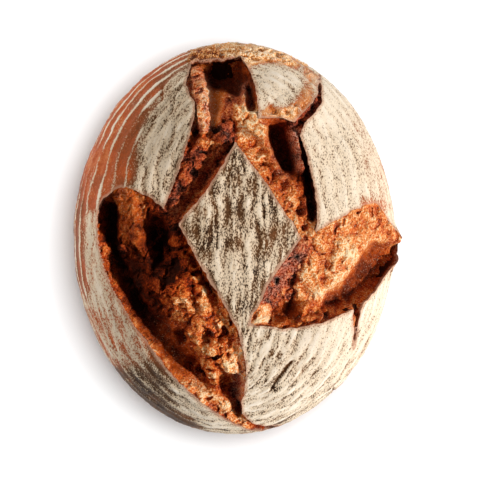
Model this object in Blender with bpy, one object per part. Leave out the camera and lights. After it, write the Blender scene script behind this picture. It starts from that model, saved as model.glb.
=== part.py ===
"""A rustic sourdough loaf: an oval boule scored with four crossing cuts that burst open in the oven.

The loaf is one solid. It is a dome of named size on a flat base, with raised crust ears along the cuts,
and one branching opening carved into it. The floor of the opening is torn crumb, set by trenches and ridges.
Frame: metres, +Z up, the origin at the centre of the flat base, +Y along the loaf's longer side.
"""

import math

import bmesh
import bpy
import numpy as np
from mathutils import Vector, noise

MM = 0.001

# Driving dimensions
LENGTH = 238 * MM
WIDTH = 195 * MM
HEIGHT = 104 * MM
WAIST_HEIGHT = 38 * MM
BASE_SHARE = 0.80
CROWN_POWER = 2.25
FOOT_POWER = 2.2

# How finely the solid is faceted
SEGMENTS = 76
CROWN_RINGS = 21
FOOT_RINGS = 7
CRUMB_CELL = 3.6 * MM
STEPS_BETWEEN_POINTS = 4
SHARP_ANGLE = math.radians(35)

# The torn opening
CRUST_THICKNESS = 2.5 * MM
VALLEY_DEPTH = 9 * MM
VALLEY_WIDTH = 8 * MM
LUMP_SIZE = 9 * MM
LUMP_HEIGHT = 2.2 * MM
CRUMB_SHARE = 0.97
PRISM_FOOT = 30 * MM
PRISM_TOP = 150 * MM
CRUMB_BLOCK_TOP = 140 * MM

# The loaf's slow unevenness, from proofing in a basket. Lifts fade near the outline, down to a least share
SWELL_SIZE = 70 * MM
SWELL_HEIGHT = 1.6 * MM
FADE_SHARE = 0.15
LEAST_FADE = 0.35

# The edge of the opening, in millimetres seen from above, walked once round it. Each list is one smooth
# stretch of torn crust, and the edge has a corner where two stretches meet
LOWER_RIGHT_LIP = [(32, -53.5), (52, -50.5), (69.5, -43)]
LIP_CRACK_IN = [(71, -53), (72, -66)]
LIP_CRACK_OUT = [(74.5, -54), (78, -38.5)]
FLAP_LIP = [(85, -31.5), (93.5, -19.5), (98.5, -6)]
RIGHT_PANEL_FOOT = [(96.5, 1), (90, 16.5), (84, 21), (70, 16), (49, 4)]
RIGHT_PANEL_EDGE = [(50, 11), (48, 33), (39.5, 62)]
STEP_CRACK_IN = [(44, 71), (53, 83), (52, 100)]
STEP_CRACK_OUT = [(49.5, 85), (36, 69.5)]
TONGUE_FOOT = [(27, 72), (14.5, 72)]
TONGUE_EDGE = [(14, 84), (10, 100), (3.5, 110)]
TOP_RIM = [(-11, 108.5), (-26, 107)]
UPPER_LEFT_EDGE = [(-28.5, 92), (-23.5, 77), (-30, 50), (-42, 17.5)]
UPPER_LEFT_FOOT = [(-53, 26), (-68, 31)]
LEFT_LIP = [(-80.5, 20), (-81, -10), (-65.5, -44), (-40, -78), (-12, -105), (13, -116.5), (29, -113.5)]
LOWER_PANEL_EDGE = [(14, -112), (5, -104), (7.5, -80), (2, -53)]
DIAMOND_LOWER_LEFT = [(-18, -19), (-33, 8.5)]
DIAMOND_UPPER_LEFT = [(-17, 28), (1, 57)]
DIAMOND_UPPER_RIGHT = [(20, 31.5), (41, 0)]
DIAMOND_LOWER_RIGHT = [(24, -22), (9, -51)]
OPENING = [
    LOWER_RIGHT_LIP, LIP_CRACK_IN, LIP_CRACK_OUT, FLAP_LIP, RIGHT_PANEL_FOOT, RIGHT_PANEL_EDGE,
    STEP_CRACK_IN, STEP_CRACK_OUT, TONGUE_FOOT, TONGUE_EDGE, TOP_RIM, UPPER_LEFT_EDGE, UPPER_LEFT_FOOT,
    LEFT_LIP, LOWER_PANEL_EDGE,
    DIAMOND_LOWER_LEFT, DIAMOND_UPPER_LEFT, DIAMOND_UPPER_RIGHT, DIAMOND_LOWER_RIGHT,
]

# Crust ears: (path in millimetres, rise, reach), both in metres
EARS = [
    (LEFT_LIP[:-2], 4.5 * MM, 13 * MM),
    (LOWER_RIGHT_LIP[1:] + FLAP_LIP, 5.5 * MM, 13 * MM),
    (UPPER_LEFT_EDGE[:3], 3.0 * MM, 11 * MM),
    (STEP_CRACK_OUT + TONGUE_FOOT + TONGUE_EDGE[:1], 4.0 * MM, 12 * MM),
    (RIGHT_PANEL_EDGE, 2.5 * MM, 12 * MM),
    (DIAMOND_UPPER_LEFT, 1.5 * MM, 10 * MM),
]
# The lower right ear ends in a flap that leans out past the outline: its middle, reach and lean
FLAP_MIDDLE = Vector((97 * MM, -5 * MM, 52 * MM))
FLAP_REACH = 11 * MM
FLAP_LEAN = Vector((8.5 * MM, 0, 2 * MM))

# Floor of the opening: (path in millimetres, half width, depth), both in metres; a ridge has a negative depth
TRENCHES = [
    ([(-77, 18), (-79, 0), (-74, -20), (-63, -40), (-40, -71), (-12, -96), (0, -105)], 10 * MM, 14 * MM),
    ([(-62, -22), (-54, -38)], 12 * MM, 8 * MM),
    ([(-46, 12), (-44, -2)], 6 * MM, 14 * MM),
    ([(-8, 101), (-6, 88)], 12 * MM, 26 * MM),
    ([(-15, 84), (-14, 70)], 6 * MM, 13 * MM),
    ([(11, 88), (10, 82)], 4 * MM, 14 * MM),
    ([(25, 69), (29, 57), (35, 44)], 6 * MM, 24 * MM),
    ([(41, 60), (47, 30), (49, 10)], 4 * MM, 11 * MM),
    ([(90, -17), (78, -32), (62, -42), (47, -48)], 10 * MM, 14 * MM),
    ([(37, -46), (26, -46)], 6 * MM, 12 * MM),
    ([(-11, 49), (-30, 18)], 6 * MM, 5 * MM),
]
RIDGES = [
    ([(-44, -32), (-30, -24)], 9 * MM, -7 * MM),
    ([(-26, -34), (-17, -50), (-6, -68), (-8, -86)], 9 * MM, -7 * MM),
    ([(-8, 72), (-4, 62), (6, 68)], 8 * MM, -7 * MM),
    ([(12, 68), (27, 45), (42, 14)], 6 * MM, -5 * MM),
    ([(50, -8), (82, 8)], 10 * MM, -5 * MM),
    ([(46, -26), (60, -24)], 9 * MM, -5 * MM),
    ([(-64, 26), (-66, 8)], 7 * MM, -6 * MM),
]

CRUST_COLOUR = (0.62, 0.42, 0.27, 1.0)
CRUST_ROUGHNESS = 0.85
PLACES_TO_WELD = 0.02 * MM


def smooth_path(points_mm):
    """A Catmull-Rom curve through points given in millimetres, as an array of points in metres."""
    points = np.array(points_mm, float) * MM
    padded = np.vstack([2 * points[0] - points[1], points, 2 * points[-1] - points[-2]])
    share = (np.arange(STEPS_BETWEEN_POINTS) / STEPS_BETWEEN_POINTS)[None, :, None]
    p0, p1, p2, p3 = (padded[i : len(padded) - 3 + i, None, :] for i in range(4))
    curve = 0.5 * (
        2 * p1
        + (p2 - p0) * share
        + (2 * p0 - 5 * p1 + 4 * p2 - p3) * share**2
        + (3 * p1 - p0 - 3 * p2 + p3) * share**3
    )
    return np.vstack([curve.reshape(-1, 2), points[-1:]])


def opening_edge():
    """The closed edge of the opening: each stretch starts at the end of the stretch before it."""
    corners = [stretch[-1] for stretch in OPENING]
    curves = [smooth_path([corners[i - 1]] + stretch)[:-1] for i, stretch in enumerate(OPENING)]
    return np.vstack(curves)


def distance_to_path(places, path, closed=False):
    """Shortest distance in plan from each place to a chain of straight pieces."""
    starts = path if closed else path[:-1]
    ends = np.roll(path, -1, axis=0) if closed else path[1:]
    along = ends - starts
    from_start = places[:, None, :] - starts[None, :, :]
    share = (from_start * along).sum(2) / np.maximum((along**2).sum(1), 1e-18)
    nearest = from_start - np.clip(share, 0, 1)[:, :, None] * along
    return np.sqrt((nearest**2).sum(2)).min(axis=1)


def inside_path(places, path):
    """True for each place that a closed path goes round, by counting crossings of a ray along +X."""
    starts, ends = path, np.roll(path, -1, axis=0)
    x, y = places[:, None, 0], places[:, None, 1]
    spans = (starts[:, 1] > y) != (ends[:, 1] > y)
    rise = np.where(ends[:, 1] == starts[:, 1], 1.0, ends[:, 1] - starts[:, 1])
    crossing = starts[:, 0] + (y - starts[:, 1]) / rise * (ends[:, 0] - starts[:, 0])
    return (spans & (x < crossing)).sum(axis=1) % 2 == 1


def outline_share(places):
    """Distance from the centre as a share of the oval outline's, in plan."""
    return np.hypot(places[:, 0] / (WIDTH / 2), places[:, 1] / (LENGTH / 2))


def crown_height(share):
    """Height of the plain dome above the base, from its share of the way out to the outline."""
    fall = 1 - np.clip(share, 0, 1) ** CROWN_POWER
    return WAIST_HEIGHT + (HEIGHT - WAIST_HEIGHT) * np.sqrt(fall)


def slow_unevenness(places):
    """Low swells that keep the dome from being a perfect one."""
    return np.array([SWELL_HEIGHT * noise.noise(Vector((x, y, 0)) / SWELL_SIZE) for x, y in places])


def ear_rise(places):
    """How far the crust is lifted beside the cuts, the largest of the ears that reach a place."""
    rise = np.zeros(len(places))
    for path_mm, height, reach in EARS:
        distance = distance_to_path(places, smooth_path(path_mm))
        rise = np.maximum(rise, height * np.exp(-((distance / reach) ** 2)))
    return rise


def crumb_height(places, edge):
    """Height of the torn crumb inside the opening."""
    inside = np.where(inside_path(places, edge), distance_to_path(places, edge, closed=True), 0.0)
    depth = CRUST_THICKNESS + VALLEY_DEPTH * (1 - np.exp(-inside / VALLEY_WIDTH))
    for path_mm, half_width, change in TRENCHES + RIDGES:
        distance = distance_to_path(places, smooth_path(path_mm))
        depth += change * np.exp(-((distance / half_width) ** 2))
    lumps = np.array([noise.noise(Vector((x, y, 0)) / LUMP_SIZE) for x, y in places])
    depth = np.maximum(depth, CRUST_THICKNESS / 2) - LUMP_HEIGHT * lumps
    return crown_height(np.minimum(outline_share(places), CRUMB_SHARE)) - depth


def collection_named(name):
    """A new collection in the scene."""
    collection = bpy.data.collections.new(name)
    bpy.context.scene.collection.children.link(collection)
    return collection


def object_from(mesh_builder, name, collection):
    """A mesh object made from a bmesh, which is then freed."""
    mesh = bpy.data.meshes.new(name)
    mesh_builder.to_mesh(mesh)
    mesh_builder.free()
    made = bpy.data.objects.new(name, mesh)
    collection.objects.link(made)
    return made


def moved_vertices(builder, places):
    """Puts the vertices of a bmesh at the rows of an array."""
    for vertex, place in zip(builder.verts, places):
        vertex.co = place


def crust_body(collection):
    """The whole loaf before it tore: a sphere primitive moved onto a dome, a rounded foot and a flat base."""
    rings = CROWN_RINGS + FOOT_RINGS
    builder = bmesh.new()
    bmesh.ops.create_uvsphere(builder, u_segments=SEGMENTS, v_segments=rings, radius=1.0)
    sphere = np.array([vertex.co for vertex in builder.verts])
    ring = np.round(np.arccos(np.clip(sphere[:, 2], -1, 1)) / math.pi * rings)
    heading = np.arctan2(sphere[:, 1], sphere[:, 0])

    crown = np.clip(ring / CROWN_RINGS, 0, 1) * math.pi / 2
    crown_share = np.sin(crown)
    foot_steps = FOOT_RINGS - 1
    foot = np.clip((ring - CROWN_RINGS) / foot_steps, 0, 1) * math.pi / 2
    foot_share = BASE_SHARE + (1 - BASE_SHARE) * np.cos(foot) ** (2 / FOOT_POWER)
    foot_height = WAIST_HEIGHT * (1 - np.sin(foot) ** (2 / FOOT_POWER))

    on_foot = ring > CROWN_RINGS
    share = np.where(on_foot, foot_share, crown_share)
    share[ring == rings] = 0.0
    places = np.column_stack([
        share * np.cos(heading) * WIDTH / 2,
        share * np.sin(heading) * LENGTH / 2,
        np.where(on_foot, foot_height, crown_height(crown_share)),
    ])
    on_crown = ~on_foot
    fade = np.clip((1 - share) / FADE_SHARE, LEAST_FADE, 1)
    lift = (ear_rise(places[:, :2]) + slow_unevenness(places[:, :2])) * fade
    places[on_crown, 2] += lift[on_crown]
    from_flap = np.linalg.norm(places - np.array(FLAP_MIDDLE), axis=1)
    places += np.exp(-((from_flap / FLAP_REACH) ** 2))[:, None] * np.array(FLAP_LEAN)
    moved_vertices(builder, places)
    return object_from(builder, "sourdough_loaf", collection)


def opening_prism(edge, collection):
    """The opening's outline as a filled 2D curve, extruded from in the loaf to above it, and made a mesh."""
    curve = bpy.data.curves.new("opening_outline", "CURVE")
    curve.dimensions = "2D"
    curve.fill_mode = "BOTH"
    curve.extrude = (PRISM_TOP - PRISM_FOOT) / 2
    spline = curve.splines.new("POLY")
    spline.points.add(len(edge) - 1)
    for point, (x, y) in zip(spline.points, edge):
        point.co = (x, y, 0, 1)
    spline.use_cyclic_u = True
    outline = bpy.data.objects.new("opening_outline", curve)
    outline.location.z = (PRISM_TOP + PRISM_FOOT) / 2
    collection.objects.link(outline)
    bpy.context.view_layer.update()

    graph = bpy.context.evaluated_depsgraph_get()
    mesh = bpy.data.meshes.new_from_object(outline.evaluated_get(graph))
    welded = bmesh.new()
    welded.from_mesh(mesh)
    bmesh.ops.remove_doubles(welded, verts=welded.verts, dist=PLACES_TO_WELD)
    bmesh.ops.recalc_face_normals(welded, faces=welded.faces)
    prism = object_from(welded, "opening_prism", collection)
    prism.matrix_world = outline.matrix_world
    bpy.data.objects.remove(outline)
    return prism


def space_above_crumb(edge, collection):
    """A block whose underside is the crumb: a grid primitive moved onto it and extruded up past the dome."""
    margin = 2 * CRUMB_CELL
    low, high = edge.min(axis=0) - margin, edge.max(axis=0) + margin
    cells = np.ceil((high - low) / CRUMB_CELL).astype(int)
    builder = bmesh.new()
    bmesh.ops.create_grid(builder, x_segments=int(cells[0]), y_segments=int(cells[1]), size=1.0)
    grid = np.array([vertex.co for vertex in builder.verts])
    plan = (low + high) / 2 + grid[:, :2] * (high - low) / 2
    moved_vertices(builder, np.column_stack([plan, crumb_height(plan, edge)]))
    raised = bmesh.ops.extrude_face_region(builder, geom=builder.faces[:])["geom"]
    for vertex in (part for part in raised if isinstance(part, bmesh.types.BMVert)):
        vertex.co.z = CRUMB_BLOCK_TOP
    bmesh.ops.recalc_face_normals(builder, faces=builder.faces)
    return object_from(builder, "space_above_crumb", collection)


def add_boolean(target, operation, other):
    """An exact Boolean of target with another object."""
    modifier = target.modifiers.new(operation.lower(), "BOOLEAN")
    modifier.operation = operation
    modifier.object = other
    modifier.solver = "EXACT"


def crust_material():
    """Floured, baked crust as one plain surface."""
    material = bpy.data.materials.new("baked_crust")
    material.use_nodes = True
    surface = material.node_tree.nodes["Principled BSDF"]
    surface.inputs["Base Color"].default_value = CRUST_COLOUR
    surface.inputs["Roughness"].default_value = CRUST_ROUGHNESS
    surface.inputs["Metallic"].default_value = 0.0
    return material


def main():
    for leftover in list(bpy.data.objects):
        bpy.data.objects.remove(leftover)
    parts = collection_named("sourdough_loaf_parts")
    cutters = collection_named("cutters")

    edge = opening_edge()
    loaf = crust_body(parts)
    prism = opening_prism(edge, cutters)
    above_crumb = space_above_crumb(edge, cutters)
    add_boolean(prism, "INTERSECT", above_crumb)
    add_boolean(loaf, "DIFFERENCE", prism)

    loaf.data.materials.append(crust_material())
    loaf.data.shade_smooth()
    loaf.data.set_sharp_from_angle(angle=SHARP_ANGLE)
    for helper in cutters.objects:
        helper.hide_render = True
        helper.display_type = "WIRE"


main()
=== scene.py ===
"""A rustic sourdough loaf, seen from above: floured, basket-marked crust over four torn bursts of crumb.

The crust is one closed surface: a dome, a rounded foot and a flat base, laid on a square grid over the
loaf's flattened skin. Along the edge of the opening its grid snaps to the torn edge and folds under, as a
shell 2 to 3 mm thick. The torn crumb is a second closed piece that lies in the opening and reaches under
the crust.

Plan places are millimetres seen from above. Flat places are millimetres on the skin rolled out flat from
the top. All working sizes are in millimetres until the meshes are made.
"""

import math

import bpy
import numpy as np
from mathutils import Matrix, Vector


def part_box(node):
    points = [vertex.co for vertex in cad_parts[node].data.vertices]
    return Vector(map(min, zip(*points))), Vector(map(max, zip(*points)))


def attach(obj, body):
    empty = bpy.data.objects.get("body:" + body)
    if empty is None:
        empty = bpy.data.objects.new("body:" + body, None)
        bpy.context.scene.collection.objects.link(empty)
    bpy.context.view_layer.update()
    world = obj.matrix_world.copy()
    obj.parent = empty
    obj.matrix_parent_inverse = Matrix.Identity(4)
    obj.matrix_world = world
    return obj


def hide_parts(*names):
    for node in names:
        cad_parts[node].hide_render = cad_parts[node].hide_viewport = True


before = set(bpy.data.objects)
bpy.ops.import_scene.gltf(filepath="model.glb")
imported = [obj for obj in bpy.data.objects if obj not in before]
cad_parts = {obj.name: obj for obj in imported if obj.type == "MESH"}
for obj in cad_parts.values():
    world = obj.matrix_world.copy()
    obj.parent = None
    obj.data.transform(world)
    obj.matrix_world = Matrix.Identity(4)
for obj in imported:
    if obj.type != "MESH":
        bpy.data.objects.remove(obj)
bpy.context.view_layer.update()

node_low, node_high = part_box("sourdough_loaf")

MM = 0.001

# The loaf's driving sizes. The base stands at height 0. The waist is the height of the widest line, the
# base's outline is a share of the widest one, and the grid ends at the cap's share, where a fan closes it
HALF_WIDTH = -node_low[0] / MM
HALF_LENGTH = node_high[1] / MM
TOP = 104.0
WAIST = 38.0
BASE_SHARE = 0.80
CAP_SHARE = 0.70
CROWN_POWER = 2.25
FOOT_POWER = 2.2
MEAN_RADIUS = math.sqrt(HALF_WIDTH * HALF_LENGTH)

CROWN_STEPS = 500
FOOT_STEPS = 200
BASE_STEPS = 40

# Grid steps, and how far the crumb reaches under the crust, how far out its grid goes, and how thick it is
CRUST_STEP = 1.0
CRUMB_STEP = 0.74
CRUMB_TUCK = 5.0
CRUMB_REACH = 132.0
CRUMB_THICKNESS = 44.0
CRUMB_THINNEST = 3.0
# The crumb is lowered along outward + this much up, and its rough parts are pushed sideways by this much
CRUMB_UPWARD = 2.5
CRUMB_SIDEWAYS = 1.2

# Slow unevenness of the whole loaf: the size and height of its swells
SWELL_SIZE = 70.0
SWELL_HEIGHT = 1.6

# The cane rings of the proofing basket: their spacing, the half distance between the foci of the ovals, and
# the length that stands for one radian round an oval
RING_PITCH = 9.0
RING_FOCUS = 90.0
RING_RADIAN = 110.0

# The edge of the opening, walked once round it. Each list is one stretch of torn crust with a corner at its
# end, and the depth is how far below the crust the crumb meets it
OPENING = {
    "lower_right_lip": (2.6, [(32, -53.5), (52, -50.5), (71.5, -42.5)]),
    "lip_crack_in": (3.0, [(72.2, -52), (72.6, -66)]),
    "lip_crack_out": (3.0, [(74.6, -52), (77, -39.5)]),
    "flap_lip": (2.2, [(85, -31.5), (93.5, -19.5), (98.5, -6)]),
    "right_panel_foot": (1.6, [(96.5, 1), (90, 16.5), (84, 21), (70, 16), (49, 4)]),
    "right_panel_edge": (6.0, [(50, 11), (48, 33), (39.5, 62)]),
    "step_crack_in": (2.5, [(44, 71), (53, 83), (52, 100)]),
    "step_crack_out": (2.5, [(49.5, 85), (36, 69.5)]),
    "tongue_foot": (5.0, [(27, 72), (14.5, 72)]),
    "tongue_edge": (6.0, [(14, 84), (10, 100), (3.5, 110)]),
    "top_rim": (5.0, [(-11, 108.5), (-26, 107)]),
    "upper_left_edge": (4.0, [(-28.5, 92), (-23.5, 77), (-30, 50), (-42, 17.5)]),
    "upper_left_foot": (2.2, [(-53, 26), (-68, 31)]),
    "left_lip": (
        1.8,
        [(-80.5, 20), (-81, -10), (-65.5, -44), (-40, -78), (-12, -105), (13, -116.5), (29, -113.5)],
    ),
    "lower_panel_edge": (2.5, [(14, -112), (5, -104), (7.5, -80), (2, -53)]),
    "diamond_lower_left": (4.0, [(-18, -19), (-33, 8.5)]),
    "diamond_upper_left": (6.0, [(-17, 28), (1, 57)]),
    "diamond_upper_right": (1.6, [(20, 31.5), (41, 0)]),
    "diamond_lower_right": (1.8, [(24, -22), (9, -51)]),
}
STEPS_BETWEEN_POINTS = 4

# Crust ears, where a lip of crust curled up: (path, rise, reach)
EARS = [
    ([(-68, 31), (-80.5, 20), (-81, -10), (-65.5, -44), (-40, -78), (-12, -105)], 4.5, 13.0),
    ([(52, -50.5), (69.5, -43), (85, -31.5), (93.5, -19.5), (98.5, -6)], 5.5, 13.0),
    ([(-28.5, 92), (-23.5, 77), (-30, 50)], 3.0, 11.0),
    ([(49.5, 85), (36, 69.5), (27, 72), (14.5, 72), (14, 84)], 4.0, 12.0),
    ([(50, 11), (48, 33), (39.5, 62)], 2.5, 12.0),
    ([(-17, 28), (1, 57)], 1.5, 10.0),
]
# The flap at the end of the lower right lip leans out: its middle, reach and lean
FLAP_MIDDLE = np.array([97.0, -5.0, 52.0])
FLAP_REACH = 11.0
FLAP_LEAN = np.array([7.0, 0.0, 2.0])

# Floor of the opening: (path, half width, depth), where a ridge has a negative depth, then the valley that
# every tear has and the depth that no hollow passes
CRUMB_RELIEF = [
    ([(-75.5, 20), (-75.5, -7), (-68, -25), (-60, -42)], 3.6, 14.0),
    ([(-59, -43), (-47.5, -59), (-35, -73), (-22, -85)], 4.5, 9.0),
    ([(-64, -14), (-58, -34), (-49, -50)], 9.0, 12.0),
    ([(-44, -56), (-34, -68), (-26, -76)], 7.0, 6.0),
    ([(-66, 28), (-62, 16), (-59, 0)], 5.0, -9.0),
    ([(-46, 5), (-45, -8)], 6.5, 20.0),
    ([(-42, -12), (-36, -14)], 5.0, 6.0),
    ([(-31, 4), (-21, -16), (-10, -37)], 3.6, 8.0),
    ([(-42, -30), (-33, -27)], 7.0, -8.0),
    ([(-32, -36), (-24, -46), (-16, -62), (-10, -76)], 9.0, -10.0),
    ([(-33, -58), (-31, -61)], 3.2, 12.0),
    ([(-18, -56), (-16, -62)], 2.8, 10.0),
    ([(-27, -33), (-22, -42)], 2.4, 7.0),
    ([(-12, -52), (-9, -60)], 2.2, 6.0),
    ([(-25, -76), (-17, -88)], 4.5, 10.0),
    ([(-8, -80), (-5, -92)], 3.0, 12.0),
    ([(0, -86), (1, -96), (4, -104)], 4.0, 13.0),
    ([(-10, 99), (-1, 98), (2, 95)], 7.5, 20.0),
    ([(-10, 86), (-11, 78)], 4.0, 4.0),
    ([(11, 92), (10.5, 80)], 3.4, 17.0),
    ([(-25, 76), (-24, 62)], 3.0, 9.0),
    ([(-22, 100), (-20, 86), (-18, 68)], 4.0, -11.0),
    ([(-3, 82), (-5, 72), (-6, 60)], 5.5, -8.0),
    ([(5, 74), (14, 66)], 6.5, -11.0),
    ([(7, 95), (7, 80)], 2.2, -8.0),
    ([(-2, 54), (-12, 40), (-24, 22), (-31, 12)], 4.5, 6.0),
    ([(-18, 58), (-24, 42), (-36, 24)], 6.0, -4.5),
    ([(26, 64), (29, 55), (33, 46)], 6.0, 22.0),
    ([(14, 70), (21, 57), (27, 42), (38, 30)], 3.8, -6.0),
    ([(36, 62), (39, 50), (41, 42)], 2.5, -8.0),
    ([(43, 60), (46, 42), (48, 14)], 3.4, 16.0),
    ([(45, 24), (45, 14)], 3.0, -5.0),
    ([(89, -10), (82, -21), (73, -31), (63, -38)], 8.0, 12.0),
    ([(62, -39), (46, -44)], 3.5, 4.0),
    ([(24, -45), (35, -42)], 5.0, 8.0),
    ([(40, -44), (46, -40)], 3.0, -4.0),
    ([(50, -6), (68, 0), (84, 6)], 12.0, -7.0),
    ([(46, -26), (58, -24), (68, -10)], 8.0, -6.0),
    ([(10, -48), (18, -46)], 4.0, -4.0),
]
VALLEY_DEPTH = 11.0
VALLEY_WIDTH = 8.0
DEEPEST = 34.0

# Looks of the crust as (flour, darkness, torn and toasted, streakiness): plain ones, and ones laid by soft
# strokes of (path, half width, looks)
CRUST_PLAIN = (0.42, 0.50, 0.0, 0.7)
CRUST_STROKES = [
    ([(0, 44), (0, -30)], 24.0, (0.57, 0.88, 0.0, 1.0)),
    ([(-43, 34), (-43, 62), (-33, 92)], 11.0, (0.77, 0.84, 0.0, 0.8)),
    ([(62, 28), (66, 60), (58, 84)], 17.0, (0.80, 0.80, 0.0, 0.3)),
    ([(92, 20), (86, 50), (74, 78)], 9.0, (0.74, 0.45, 0.0, 0.35)),
    ([(20, -70), (25, -98), (50, -88)], 17.0, (0.80, 0.88, 0.0, 1.0)),
    ([(60, -66), (84, -48)], 16.0, (0.86, 0.70, 0.0, 0.5)),
    ([(20, 84), (30, 90), (24, 100)], 8.0, (0.88, 0.85, 0.0, 0.8)),
    ([(-2, 113), (16, 111), (34, 108)], 4.8, (0.36, -0.15, 1.0, 0.3)),
    ([(22, 76), (36, 76), (46, 88), (48, 99)], 4.8, (0.30, 0.0, 1.0, 0.3)),
    ([(-26, 110), (-12, 112)], 4.0, (0.05, 0.70, 1.0, 0.3)),
    ([(-66, 42), (-64, 60), (-52, 86), (-36, 106)], 6.0, (0.06, 0.40, 0.0, 0.4)),
    ([(-88, 34), (-82, 58), (-66, 84), (-44, 108)], 10.0, (0.14, 0.31, 0.0, 0.6)),
    ([(-94, 26), (-96, 0), (-92, -28)], 5.0, (0.0, 0.50, 0.0, 0.4)),
    ([(60, 74), (56, 92)], 10.0, (0.98, 0.7, 0.0, 0.2)),
    ([(-87, 10), (-86, -12), (-82, -30)], 4.5, (0.86, 0.36, 0.0, 0.6)),
    ([(-80, -46), (-66, -68)], 8.0, (0.66, 0.38, 0.0, 0.9)),
    # These two strokes darken the lower left: partly the crust's own brown, partly painted shade on the side
    # turned away from both lights
    ([(-60, -84), (-44, -95)], 7.0, (0.32, 0.84, 0.0, 0.9)),
    ([(-72, -84), (-54, -102), (-28, -114)], 4.5, (0.05, 0.84, 0.0, 0.6)),
    ([(-32, -92), (-18, -106), (0, -116)], 6.0, (0.78, 0.86, 0.0, 0.9)),
    ([(80, 22), (90, 19)], 3.5, (0.40, 0.20, 0.5, 0.3)),
]

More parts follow.
